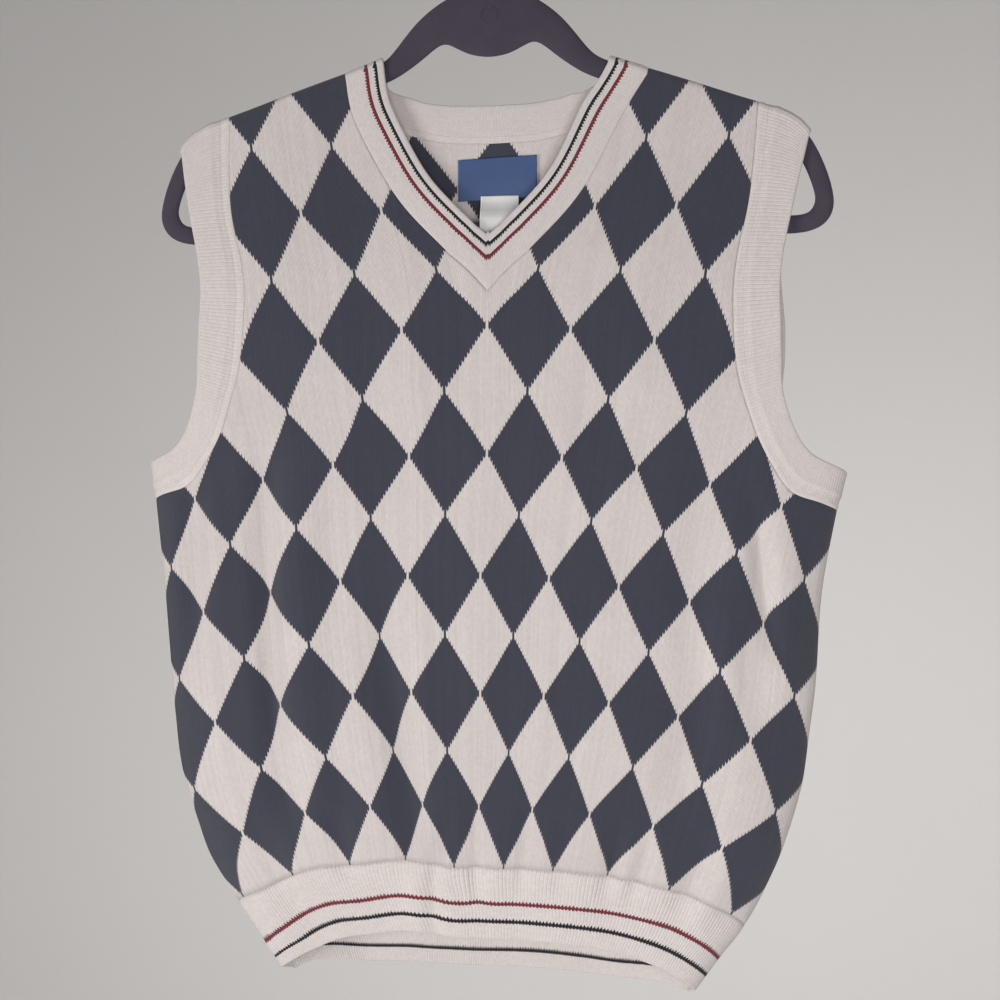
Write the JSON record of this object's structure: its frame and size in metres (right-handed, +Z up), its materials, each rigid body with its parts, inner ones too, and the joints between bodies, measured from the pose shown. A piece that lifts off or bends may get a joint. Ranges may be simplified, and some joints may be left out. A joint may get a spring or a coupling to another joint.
{
  "type": "knitted sweater vest on a clothes hanger",
  "caption": "Knitted V-neck sweater vest with a harlequin of dark and pale diamonds and ribbed hem, hanging open and empty on a flocked hanger with a wire hook.",
  "frame": {"origin": "where the top inside of the hanger's hook bears on its rail", "axes": "+Z up, the vest's front faces -Y, +X is the wearer's left"},
  "size_m": [0.4592, 0.0514, 0.7239],
  "materials": {
    "knit_front": "fine stocking stitch in dark blue-grey and pale beige diamonds",
    "knit_back": "fine stocking stitch in dark blue-grey and pale beige diamonds",
    "rib": "fine one by one rib in pale beige with dark red and black stripes",
    "label_blue": "woven satin label, bare",
    "label_white": null,
    "flock": "short velvet flock over a moulded core",
    "hook_wire": "polished"
  },
  "bodies": {
    "root": {"front_panel": "knit_front", "back_panel": "knit_back", "hem_rib_front": "rib", "hem_rib_back": "rib", "neck_band": "rib", "armhole_band_left": "rib", "armhole_band_right": "rib", "neck_label": "label_blue", "care_label": "label_white", "hanger_body": "flock", "hanger_hook": "hook_wire"}
  },
  "joints": []
}
